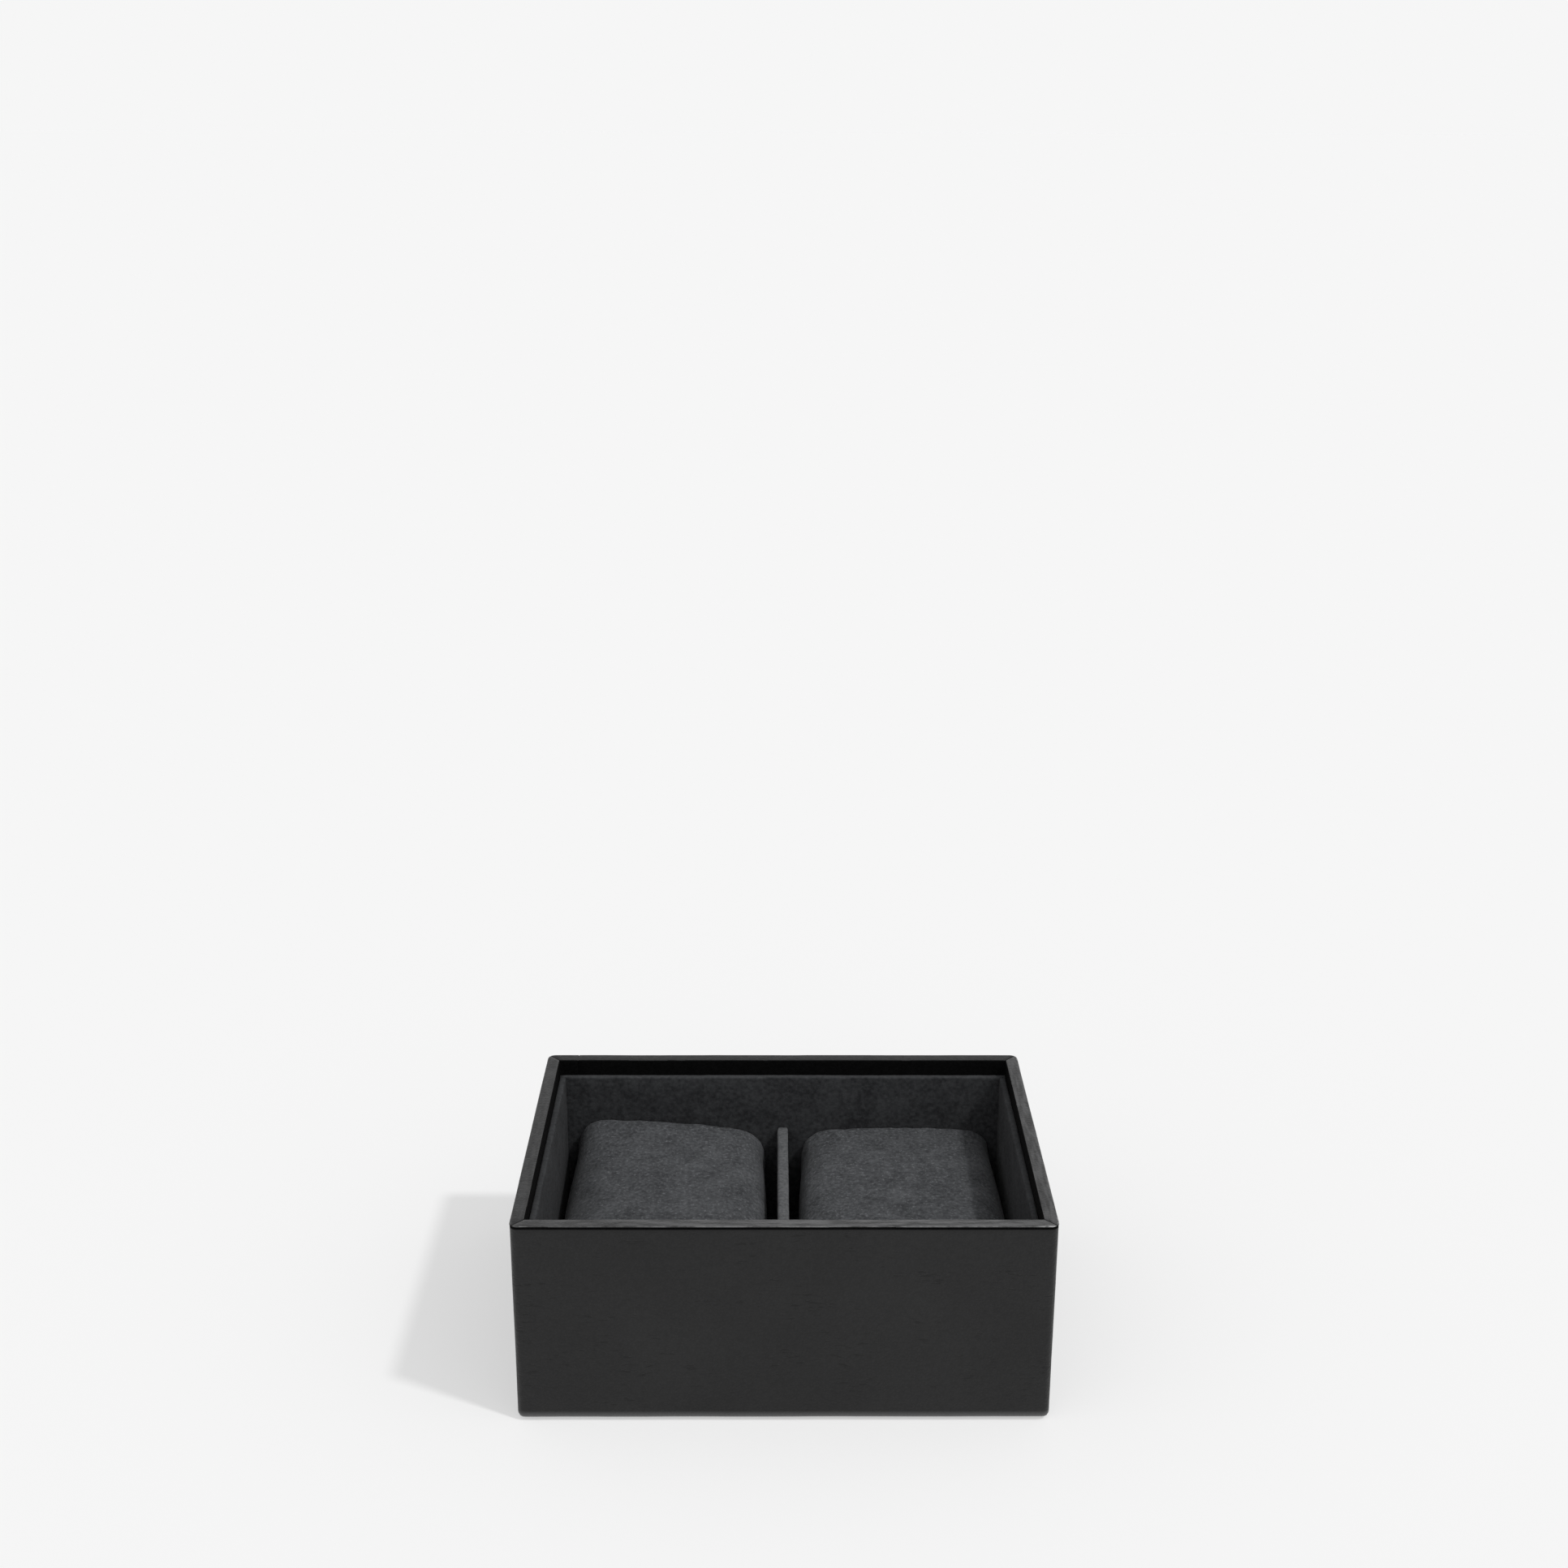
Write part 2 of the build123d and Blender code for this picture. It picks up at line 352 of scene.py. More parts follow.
def edgeHighlights(tree, where, height, cornerX, cornerY):
    look = leatherLook
    reach = look["edgeReach"]
    upper = spanValue(tree, height, 0.0, 1.0, wrapHigh.z - 0.35 * reach,
                      wrapHigh.z - 0.15 * reach)
    outer = spanValue(tree, mathOf(tree, "MAXIMUM", cornerX, cornerY), 0.0, 1.0, -reach,
                      -0.5 * reach)
    nearCorner = spanValue(tree, plus(tree, cornerX, cornerY), 0.0, 1.0, -look["glintReach"],
                           -look["glintFull"])
    scuff = noiseField(tree, where, look["scuffSize"], 3.0, offset=0.33)
    glint = times(tree, nearCorner, spanValue(tree, scuff, 0.0, 1.0, *look["glintSpan"]))
    faint = spanValue(tree, scuff, 0.0, look["scuffShare"], *look["scuffSpan"])
    return mathOf(tree, "MAXIMUM", faint, glint), times(tree, upper, outer)


def leatheretteMaterial():
    look = leatherLook
    material, tree, shader, where = newMaterial("blackLeatherette")
    axes = splitAxes(tree, where)
    domes = pebbleDomes(tree, where)
    cloudy = noiseField(tree, where, look["cloudSize"], 6.0)
    wrinkle = creases(tree, where)
    # painted shade: the creases and the band just below the rim's pressed line are darkened in
    # colour
    shade = mathOf(tree, "MAXIMUM", times(tree, wrinkle, look["creaseShade"]),
                   times(tree, lipShadow(tree, axes["Z"]), look["lipShade"]))
    colour = leatherTone(tree, where, domes, cloudy)
    colour = mixColours(tree, shade, colour, look["crease"])

    # the rim is painted paler: rubbed streaks as wear, and painted light, paler towards the front
    # and the right
    onRim = spanValue(tree, axes["Z"], 0.0, 1.0, wrapHigh.z - look["rimFrom"],
                      wrapHigh.z - look["rimFull"])
    cornerX = minus(tree, mathOf(tree, "ABSOLUTE", axes["X"]), wrapHigh.x)
    cornerY = minus(tree, mathOf(tree, "ABSOLUTE", axes["Y"]), wrapHigh.y)
    sideways = minus(tree, cornerX, cornerY)
    aside = spanValue(tree, sideways, 0.0, 1.0, -look["cornerTurn"], look["cornerTurn"])
    share = spanValue(tree, axes["Y"], look["frontPaler"], 0.0, -look["wornTurn"],
                      look["wornTurn"])
    share = blendOf(tree, aside, share, look["sidesPaler"])
    lightFromRight = spanValue(tree, axes["X"], look["leftLitShare"], 1.0, wrapLow.x, look["litFullFrom"])
    streaksAndLight = times(tree, rimStreaks(tree, where, aside), lightFromRight)
    wearAndLight = times(tree, onRim, times(tree, share, streaksAndLight))
    colour = mixColours(tree, wearAndLight, colour, look["wearAndLight"])

    # painted highlight along the rim's outer edge: glints near the corners, faint scuffs
    # elsewhere, brighter towards the right
    highlightsAndScuffs, edgeBand = edgeHighlights(tree, where, axes["Z"], cornerX, cornerY)
    edgeHighlightAndScuff = times(tree, times(tree, highlightsAndScuffs, lightFromRight), times(tree, edgeBand, share))
    colour = mixColours(tree, edgeHighlightAndScuff, colour, look["edge"])
    # painted reflection of the floor, lightening the bottom fold
    foot = spanValue(tree, axes["Z"], 1.0, 0.0, wrapLow.z + 0.3 * look["footReach"],
                     wrapLow.z + look["footReach"])
    colour = mixColours(tree, foot, colour, look["foot"])
    offMitre = mathOf(tree, "ABSOLUTE", sideways)
    mitre = spanValue(tree, offMitre, 1.0, 0.0, 0.0, 4 * look["mitreHalf"])
    mitre = times(tree, times(tree, onRim, mitre), look["mitreShade"])
    colour = mixColours(tree, mitre, colour, look["crease"])
    tree.links.new(colour, shader.inputs["Base Color"])

    rough = spanValue(tree, cloudy, look["roughHigh"], look["roughLow"], *look["roughSpan"])
    matt = times(tree, onRim, minus(tree, 1.0, share))
    rough = plus(tree, rough, times(tree, matt, look["unwornRough"]))
    rough = minus(tree, rough, times(tree, edgeHighlightAndScuff, look["edgeRough"]))
    tree.links.new(rough, shader.inputs["Roughness"])
    shader.inputs["Specular IOR Level"].default_value = look["specular"]
    grain = bumpFrom(tree, domes, look["pebbleHeight"])
    carved = bumpFrom(tree, minus(tree, 0.0, wrinkle), look["creaseHeight"], below=grain)
    tree.links.new(carved, shader.inputs["Normal"])
    return material


# plain materials: one grain, two tones

# near-black with little gloss: painted shade on the pressed line below the rim and on the leather
# turned into the recess; also the dark mitre cuts
shadeAndJointLook = {
    "grain": 0.7 * mm, "detail": 4.0, "span": (0.35, 0.7),
    "dark": (0.0012, 0.0012, 0.0012), "pale": (0.0035, 0.0035, 0.0036),
    "rough": 0.85, "specular": 0.05, "height": 0.03 * mm, "strength": 0.5,
}
feltLook = {
    "grain": 0.8 * mm, "detail": 6.0, "span": (0.35, 0.7),
    "dark": (0.012, 0.012, 0.013), "pale": (0.03, 0.03, 0.031),
    "rough": 1.0, "specular": 0.1, "height": 0.15 * mm, "strength": 0.9,
}
fibreLook = {
    "grain": 1.1 * mm, "detail": 8.0, "span": (0.3, 0.7),
    "dark": (0.26, 0.165, 0.09), "pale": (0.43, 0.30, 0.18),
    "rough": 0.85, "specular": 0.5, "height": 0.05 * mm, "strength": 0.6,
}
cardLook = {
    "grain": 0.6 * mm, "detail": 8.0, "span": (0.3, 0.7),
    "dark": (0.25, 0.25, 0.24), "pale": (0.38, 0.38, 0.365),
    "rough": 0.9, "specular": 0.5, "height": 0.03 * mm, "strength": 0.5,
}


def plainMaterial(name, look):
    material, tree, shader, where = newMaterial(name)
    grain = noiseField(tree, where, look["grain"], look["detail"])
    tree.links.new(rampBetween(tree, grain, look["span"], look["dark"], look["pale"]),
                   shader.inputs["Base Color"])
    shader.inputs["Roughness"].default_value = look["rough"]
    shader.inputs["Specular IOR Level"].default_value = look["specular"]
    tree.links.new(bumpFrom(tree, grain, look["height"], look["strength"]),
                   shader.inputs["Normal"])
    return material


# velvet

velvetLook = {
    "mottleShare": 0.62,
    "napSize": 10 * mm,
    "napShare": 0.38,
    "toneSpan": (0.36, 0.64),
    "fleckSpan": (0.56, 0.72),
    "fleckLeast": 0.3,
    "fleckTone": (0.42, 0.6),
    "foldReach": 0.7 * mm,
    "seamShade": 0.85,
    "rough": 0.95,
    "specular": 0.12,
    "sheenRough": 0.5,
    "fuzzSize": 0.25 * mm,
    "fuzzHeight": 0.10 * mm,
    "fuzzStrength": 0.8,
    "mottleHeight": 0.35 * mm,
    "mottleStrength": 0.7,
}
cushionNap = {
    "dark": (0.033, 0.0345, 0.037),
    "pale": (0.084, 0.087, 0.092),
    "fleck": (0.155, 0.160, 0.168),
    "mottle": 1.3 * mm,
    "fleckSize": 0.8 * mm,
    "fleckShare": 0.8,
    "sheen": 0.04,
    # seam: painted shade in the sewn seams
    "seam": (0.012, 0.0125, 0.0135),
}
liningNap = {
    "dark": (0.018, 0.0185, 0.0200),
    "pale": (0.044, 0.0455, 0.0480),
    "fleck": (0.065, 0.067, 0.07),
    "mottle": 1.4 * mm,
    "fleckSize": 0.9 * mm,
    "fleckShare": 0.3,
    "sheen": 0.02,
    "foldHeight": 68.5 * mm,    # the pile is painted paler where the cloth folds over the card: rubbed nap and painted highlight on the lit top edge
    "foldShare": 0.43,
}
# paler than the other velvets: painted sheen of the cloth stretched over the divider's top
dividerNap = {
    "dark": (0.062, 0.064, 0.067),
    "pale": (0.128, 0.131, 0.135),
    "fleck": (0.15, 0.155, 0.16),
    "mottle": 1.2 * mm,
    "fleckSize": 0.8 * mm,
    "fleckShare": 0.3,
    "sheen": 0.04,
}


def velvetMaterial(name, look):
    weave = velvetLook
    material, tree, shader, where = newMaterial(name)
    mottle = noiseField(tree, where, look["mottle"], 5.0)
    nap = noiseField(tree, where, weave["napSize"], 3.0, offset=0.17)
    tone = plus(tree, times(tree, mottle, weave["mottleShare"]),
                times(tree, nap, weave["napShare"]))
    colour = rampBetween(tree, tone, weave["toneSpan"], look["dark"], look["pale"])
    tufts = noiseField(tree, where, look["fleckSize"], 2.0, offset=0.21)
    fleck = spanValue(tree, tufts, 0.0, look["fleckShare"], *weave["fleckSpan"])
    fleck = times(tree, fleck,
                  spanValue(tree, mottle, weave["fleckLeast"], 1.0, *weave["fleckTone"]))
    colour = mixColours(tree, fleck, colour, look["fleck"])
    # painted highlight on the liners' top fold, partly rubbed nap
    if "foldHeight" in look:
        foldRubAndLight = spanValue(tree, splitAxes(tree, where)["Z"], 0.0, look["foldShare"],
                         look["foldHeight"], look["foldHeight"] + weave["foldReach"])
        colour = mixColours(tree, foldRubAndLight, colour, look["fleck"])
    # painted shade in the sewn seams
    if "seam" in look:
        sewn = tree.nodes.new("ShaderNodeAttribute")
        sewn.attribute_name = "seam"
        seam = times(tree, sewn.outputs["Fac"], weave["seamShade"])
        colour = mixColours(tree, seam, colour, look["seam"])
    tree.links.new(colour, shader.inputs["Base Color"])
    shader.inputs["Roughness"].default_value = weave["rough"]
    shader.inputs["Specular IOR Level"].default_value = weave["specular"]
    shader.inputs["Sheen Weight"].default_value = look["sheen"]
    shader.inputs["Sheen Roughness"].default_value = weave["sheenRough"]
    fuzz = noiseField(tree, where, weave["fuzzSize"], 3.0)
    fuzz = bumpFrom(tree, fuzz, weave["fuzzHeight"], weave["fuzzStrength"])
    tree.links.new(bumpFrom(tree, mottle, weave["mottleHeight"], weave["mottleStrength"],
                            below=fuzz), shader.inputs["Normal"])
    return material


leatherette = leatheretteMaterial()
shadeAndJointLeather = plainMaterial("shadeAndJointLeather", shadeAndJointLook)
cushionVelvet = velvetMaterial("cushionVelvet", cushionNap)
liningVelvet = velvetMaterial("liningVelvet", liningNap)
dividerVelvet = velvetMaterial("dividerVelvet", dividerNap)
felt = plainMaterial("blackFelt", feltLook)
fibreboard = plainMaterial("fibreboard", fibreLook)
greyCard = plainMaterial("greyCard", cardLook)
print("materials are ready")


# the leatherette skin: outside, rim, turn-in and hem in one open sheet

wrap = {
    "skin": 0.36 * mm,          # a little thinner than the sheet of 0.4 mm
    "slack": 0.04 * mm,         # the turned-in leather keeps this far off the liners
    "turnIn": 20 * mm,
    "hem": 12 * mm,
    "cornerRound": 2.8 * mm,
    "rimRound": 0.45 * mm,
    "baseRound": 2.0 * mm,
    "cell": 1.7 * mm,
    "outerReach": 1.0 * mm,     # what lies this near the outside is outer wall
    "topReach": 0.3 * mm,       # and this near the top is rim
    "lipDepth": 0.385 * mm,     # no deeper than the sheet, or the board shows
    "mitreDepth": 0.2 * mm,
    "wallIn": 0.1 * mm,         # the wall stands this much behind the rim
    "seamFromEdge": 11.8 * mm,  # the butt seam on the rear wall, from the left side
    "seamHalf": 0.22 * mm,
    "seamDepth": 0.25 * mm,
    "waveSize": 26 * mm,
    "waveHeight": 0.10 * mm,
    "waveRest": 0.035 * mm,     # the sheet lies this much in from its box, where no wave lifts it
    "dimpleSize": 5 * mm,
    "dimpleHeight": 0.03 * mm,
}
seamX = wrapLow.x + wrap["seamFromEdge"]


def toOuter(place):
    return min(wrapHigh.x - abs(place.x), wrapHigh.y - abs(place.y))


def offMitre(place):
    return abs((wrapHigh.x - abs(place.x)) - (wrapHigh.y - abs(place.y))) / math.sqrt(2)


def onTop(place):
    return place.z > wrapHigh.z - wrap["topReach"]


def foldSheet(wall):
    bm = blockMesh(wrapLow, wrapHigh)
    mouth = facesAt(bm, 2, wrapHigh.z)
    foot = facesAt(bm, 2, wrapLow.z)
    for faces, thickness, depth in ((mouth, wall, 0.0), (mouth, 0.0, -wrap["turnIn"]),
                                    (foot, wrap["hem"], 0.0)):
        bmesh.ops.inset_individual(bm, faces=faces, thickness=thickness, depth=depth,
                                   use_even_offset=True)
    dropFaces(bm, mouth + foot)
    insideX, insideY = wrapHigh.x - 0.5 * wall, wrapHigh.y - 0.5 * wall
    upright = edgesAlong(bm, 2, lambda m: abs(m.x) > insideX and abs(m.y) > insideY)
    roundEdges(bm, upright, wrap["cornerRound"], 6)
    roundEdges(bm, foldsAt(bm, wrapLow.z), wrap["baseRound"], 5)
    roundEdges(bm, foldsAt(bm, wrapHigh.z), wrap["rimRound"], 5)
    bmesh.ops.remove_doubles(bm, verts=bm.verts, dist=0.02 * mm)
    cutIntoCells(bm, wrap["cell"])
    return bm


def cutLines(bm, wall):
    near = 3 * wrap["cell"]
    for step in (-1, 0, 1):
        rear = [f for f in bm.faces
                if f.calc_center_median().y > wrapHigh.y - wrap["hem"] - same
                and abs(f.calc_center_median().x - seamX) < near]
        cutAcross(bm, rear, (seamX + step * wrap["seamHalf"], 0, 0), (1, 0, 0))
    for step in (-1.3, -1, 0, 1):
        upper = [f for f in bm.faces if toOuter(f.calc_center_median()) < wrap["outerReach"]
                 and f.calc_center_median().z > lipHeight - near]
        cutAcross(bm, upper, (0, 0, lipHeight + step * leatherLook["lipHalf"]), (0, 0, 1))
    for towardsX, towardsY in ((1, 1), (1, -1), (-1, 1), (-1, -1)):
        across = Vector((towardsX, -towardsY, 0)) / math.sqrt(2)
        corner = Vector((towardsX * wrapHigh.x, towardsY * wrapHigh.y, wrapHigh.z))
        for step in (-1, 0, 1):
            top = [f for f in bm.faces if onTop(f.calc_center_median())
                   and (f.calc_center_median() - corner).length < 3 * wall]
            cutAcross(bm, top, corner + across * step * leatherLook["mitreHalf"], across)


def faceOutwards(bm):
    bmesh.ops.recalc_face_normals(bm, faces=bm.faces)
    bm.normal_update()
    if max(bm.faces, key=lambda f: f.calc_center_median().x).normal.x < 0:
        bmesh.ops.reverse_faces(bm, faces=bm.faces)
    bm.normal_update()


def pressSheet(bm):
    moves = []
    for v in bm.verts:
        wave = noise.noise(v.co / wrap["waveSize"]) * wrap["waveHeight"]
        dimple = noise.noise(v.co / wrap["dimpleSize"]) * wrap["dimpleHeight"]
        depth = min(0.0, wave + dimple - wrap["waveRest"])
        if abs(v.co.x - seamX) < 0.1 * wrap["seamHalf"] and v.co.y > wrapHigh.y - wrap["hem"]:
            depth -= wrap["seamDepth"]
        if toOuter(v.co) < wrap["outerReach"]:
            drop = (lipHeight - v.co.z) / leatherLook["lipHalf"]
            if abs(drop) < 0.1:
                depth = -wrap["lipDepth"]
            elif drop > 0.9:
                depth -= wrap["wallIn"]
        if onTop(v.co) and offMitre(v.co) < 0.1 * leatherLook["mitreHalf"]:
            depth = -wrap["mitreDepth"]
        moves.append((v, v.normal * max(depth, -wrap["lipDepth"])))
    for v, move in moves:
        v.co += move


def markShadeAndJoints(bm, wall):
    lipHalf = leatherLook["lipHalf"]
    for edge in bm.edges:
        drops = [abs(lipHeight - v.co.z) / lipHalf for v in edge.verts]
        level = max(drops) < 0.1 or all(abs(drop - 1) < 0.1 for drop in drops)
        if level and all(toOuter(v.co) < wrap["outerReach"] for v in edge.verts):
            edge.smooth = False
    inner = wall - 0.5 * wrap["rimRound"]
    for face in bm.faces:
        middle = face.calc_center_median()
        onLine = toOuter(middle) < wrap["outerReach"] and abs(middle.z - lipHeight) < lipHalf
        onCut = onTop(middle) and offMitre(middle) < leatherLook["mitreHalf"]
        turnedIn = toOuter(middle) > inner and middle.z > wrapLow.z + wrap["hem"]
        # the pressed line and the turned-in leather get the painted-shade finish; the mitre cuts
        # get it as dark joints
        if onLine or onCut or turnedIn:
            face.material_index = 1


def makeWrap():
    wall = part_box("front_liner_velvet")[0].y - wrapLow.y - wrap["slack"]
    wall = round(wall / (0.1 * mm)) * 0.1 * mm
    bm = foldSheet(wall)
    cutLines(bm, wall)
    faceOutwards(bm)
    pressSheet(bm)
    markShadeAndJoints(bm, wall)
    skin = finishPiece(bm, "leatheretteSkin", leatherette)
    skin.data.materials.append(shadeAndJointLeather)
    thicken(skin, wrap["skin"], even=False)
    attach(skin, "box")
    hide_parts("leather_wrap")
    print("leatherette skin:", len(skin.data.polygons), "faces")


makeWrap()


# velvet over the liner cards and over the divider

lining = {
    "sheet": 0.4 * mm,
    "flap": 12 * mm,
    "edgeRound": 0.8 * mm,
    "dividerRound": 1.0 * mm,
    "cell": 1.3 * mm,
    "waveSize": 18 * mm,
    "waveHeight": 0.12 * mm,
    "puckerSize": 2.6 * mm,
    "puckerHeight": 0.05 * mm,
}


def ruffle(bm, settings, keepFlat=lambda v: False):
    bm.normal_update()
    moves = []
    for v in bm.verts:
        if keepFlat(v):
            continue
        wave = noise.noise(v.co / settings["waveSize"]) * settings["waveHeight"]
        pucker = noise.noise(v.co / settings["puckerSize"]) * settings["puckerHeight"]
        moves.append((v, v.normal * (wave + pucker)))
    for v, move in moves:
        v.co += move


def makeLining(wall):
    name = f"{wall}_liner_velvet"
    low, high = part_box(name)
    across = 1 if wall in ("front", "rear") else 0
    along = 1 - across
    back = low[across] if wall in ("front", "left") else high[across]
    flapEnd = high.z - lining["flap"]
    bm = blockMesh(low, high)
    dropFaces(bm, facesAt(bm, 2, low.z) + facesAt(bm, along, low[along])
              + facesAt(bm, along, high[along]))
    cutAcross(bm, bm.faces[:], (0, 0, flapEnd), (0, 0, 1))
    dropFaces(bm, [f for f in facesAt(bm, across, back) if f.calc_center_median().z < flapEnd])
    topEdges = edgesAlong(bm, along, lambda m: abs(m.z - high.z) < same)
    roundEdges(bm, topEdges, lining["edgeRound"], 4)
    cutIntoCells(bm, lining["cell"])
    ruffle(bm, lining, lambda v: abs(v.co[across] - back) < beside)
    cloth = finishPiece(bm, f"{wall}LinerVelvet", liningVelvet)
    thicken(cloth, lining["sheet"])
    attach(cloth, "box")
    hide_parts(name)


def makeDividerVelvet():
    low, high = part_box("divider_velvet")
    bm = blockMesh(low, high)
    dropFaces(bm, facesAt(bm, 2, low.z) + facesAt(bm, 1, low.y) + facesAt(bm, 1, high.y))
    topEdges = edgesAlong(bm, 1, lambda m: abs(m.z - high.z) < same)
    roundEdges(bm, topEdges, lining["dividerRound"], 4)
    cutIntoCells(bm, lining["cell"])
    ruffle(bm, lining)
    cloth = finishPiece(bm, "dividerCover", dividerVelvet)
    thicken(cloth, lining["sheet"])
    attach(cloth, "box")
    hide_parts("divider_velvet")


for wall in walls:
    makeLining(wall)
makeDividerVelvet()
print("liners and divider are covered")


# padded floor of each compartment

pad = {
    "edgeRound": 1.2 * mm,
    "cell": 2.0 * mm,
    "crown": 0.35 * mm,
    "crownShare": 0.6,
    "crownPower": 4,
    "topReach": 0.5 * mm,
    "waveSize": 22 * mm,
    "waveHeight": 0.15 * mm,
    "puckerSize": 3.0 * mm,
    "puckerHeight": 0.05 * mm,
}


def makeFloorPad(side):
    low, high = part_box(f"{side}_floor_velvet")
    top = high.z - pad["crown"]
    bm = blockMesh(low, high - Vector((0, 0, pad["crown"])))
    roundEdges(bm, edgesAt(bm, top), pad["edgeRound"], 4)
    cutIntoCells(bm, pad["cell"])
    ruffle(bm, pad, lambda v: v.co.z < top - 0.5 * pad["edgeRound"])
    middle = (low + high) / 2
    half = (high - low) / 2
    for v in bm.verts:
        if v.co.z > top - pad["topReach"]:
            across = 1 - abs((v.co.x - middle.x) / half.x) ** pad["crownPower"]
            along = 1 - abs((v.co.y - middle.y) / half.y) ** pad["crownPower"]
            v.co.z += pad["crownShare"] * pad["crown"] * across * along
    cloth = finishPiece(bm, f"{side}FloorPad", liningVelvet)
    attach(cloth, "box")
    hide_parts(f"{side}_floor_velvet", f"{side}_floor_foam")


for side in sides:
    makeFloorPad(side)
print("floor pads are in")


# the loose cushions: a sewn tube of velvet with a panel at each end

cushion = {
    "cell": 2.1 * mm,
    "shoulder": 9.5 * mm,
    "foot": 8 * mm,
    "taller": 0.3 * mm,         # the cloth stands this much proud of the solid
    "swell": 1.8 * mm,
    "rise": 0.8 * mm,
    "crown": 1.4 * mm,
    "bulge": 0.8 * mm,
    "start": 0.8 * mm,          # the cloth between the seams starts this much smaller
    "startSlope": 3,
    "backPower": 1.5,           # how fast the rear corners' lean fades forwards
    "pressure": 4.0,
    "quality": 6,
    "frames": 20,
    "mostSwell": 1.5 * mm,
    "mostEnd": 0.5 * mm,
    "endFacing": 0.7,
    "endCrease": 0.8,
    "seamHalf": 0.42 * mm,
    "seamDepth": 0.85 * mm,
    "waveSize": 17 * mm,
    "waveHeight": 0.30 * mm,
    "waveShift": Vector((7, 3, 1)),
    "puckerSize": 3.2 * mm,
    "puckerStretch": 0.22,      # puckers run in from the end seams
    "puckerReach": 4.05 * mm,
    "puckerHeight": 0.35 * mm,
    "fineSize": 1.8 * mm,
    "fineHeight": 0.05 * mm,
    "sag": 0.1 * mm,
    "restHeight": 1.0 * mm,     # the part that lies on the floor pad is smoother
    "restShare": 0.25,
}
slump = {                       # how each one was stuffed: its outer side, seen from the front
    "left": {"backOuter": 5.2 * mm, "backInner": -0.3 * mm, "frontRound": 1.5, "backRound": 1.0,
             "frontOut": 2.7 * mm, "backOut": 0.6 * mm},
    "right": {"backOuter": 0.0, "backInner": 0.0, "frontRound": 1.1, "backRound": 0.8,
              "frontOut": 2.2 * mm, "backOut": 1.7 * mm},
}


def cushionParts(side):
    return [f"{side}_cushion_{part}" for part in ("cover", "foam", "front_end", "rear_end")]


def between(first, second, share):
    return first + (second - first) * share


def roundSection(x, z, half, shoulder, foot):
    tinyReach = 1e-9
    ring = max(abs(x) / half.x, abs(z) / half.z, tinyReach)
    outX, outZ = x / ring, z / ring
    radius = shoulder if outZ > 0 else foot
    coreX = max(-half.x + radius, min(half.x - radius, outX))
    coreZ = max(-half.z + radius, min(half.z - radius, outZ))
    reachX, reachZ = outX - coreX, outZ - coreZ
    reach = math.hypot(reachX, reachZ)
    if min(abs(reachX), abs(reachZ)) > tinyReach:
        outX, outZ = coreX + reachX / reach * radius, coreZ + reachZ / reach * radius
    return outX * ring, outZ * ring


def markSeams(bm, half):
    sewn = bm.verts.layers.float.new("seam")
    for v in bm.verts:
        atEnd = abs(abs(v.co.y) - half.y) < same
        atSide = abs(abs(v.co.x) - half.x) < same or abs(abs(v.co.z) - half.z) < same
        below = abs(v.co.z + half.z) < same and abs(v.co.x) < same
        v[sewn] = 1.0 if atEnd and atSide or below else 0.0
    return [v.index for v in bm.verts if v[sewn] > 0.9]


def stuffed(place, half, outer, lean):
    x, y, z = place
    t = y / half.y
    full = max(0.0, 1 - t * t)
    back = max(0.0, t) ** cushion["backPower"]
    rounder = between(lean["frontRound"], lean["backRound"], back) if outer * x > 0 else 1.0
    x, z = roundSection(x, z, half, cushion["shoulder"] * rounder, cushion["foot"])
    s = x / half.x
    up = (z + half.z) / (2 * half.z)
    belly = cushion["bulge"] * (1 - (2 * up - 1) ** 2)
    corner = 0.5 + 0.5 * outer * s
    tilt = between(lean["backInner"], lean["backOuter"], corner)
    smaller = cushion["start"] * min(1.0, cushion["startSlope"] * full)
    x += outer * corner * between(lean["frontOut"], lean["backOut"], (1 + t) / 2)
    x += s * (cushion["swell"] * full + belly - smaller)
    z += up * (cushion["rise"] * full + cushion["crown"] * max(0.0, 1 - s * s) + tilt * back
               - smaller)
    return Vector((x, y, z))


def shapeCushion(side):
    low, high = nodeBox(*cushionParts(side))
    middle = (low + high) / 2
    half = Vector(((high.x - low.x) / 2 - cushion["swell"] - cushion["bulge"],
                   (high.y - low.y) / 2,
                   (high.z - low.z - cushion["rise"] - cushion["crown"] + cushion["taller"]) / 2))
    centre = Vector((middle.x, middle.y, low.z + half.z))
    bm = blockMesh(-half, half)
    cutIntoCells(bm, cushion["cell"], paired=True)
    bm.verts.index_update()
    seam = markSeams(bm, half)
    outer = -1 if side == "left" else 1
    for v in bm.verts:
        v.co = centre + stuffed(v.co, half, outer, slump[side])
    return bm, centre, half, seam


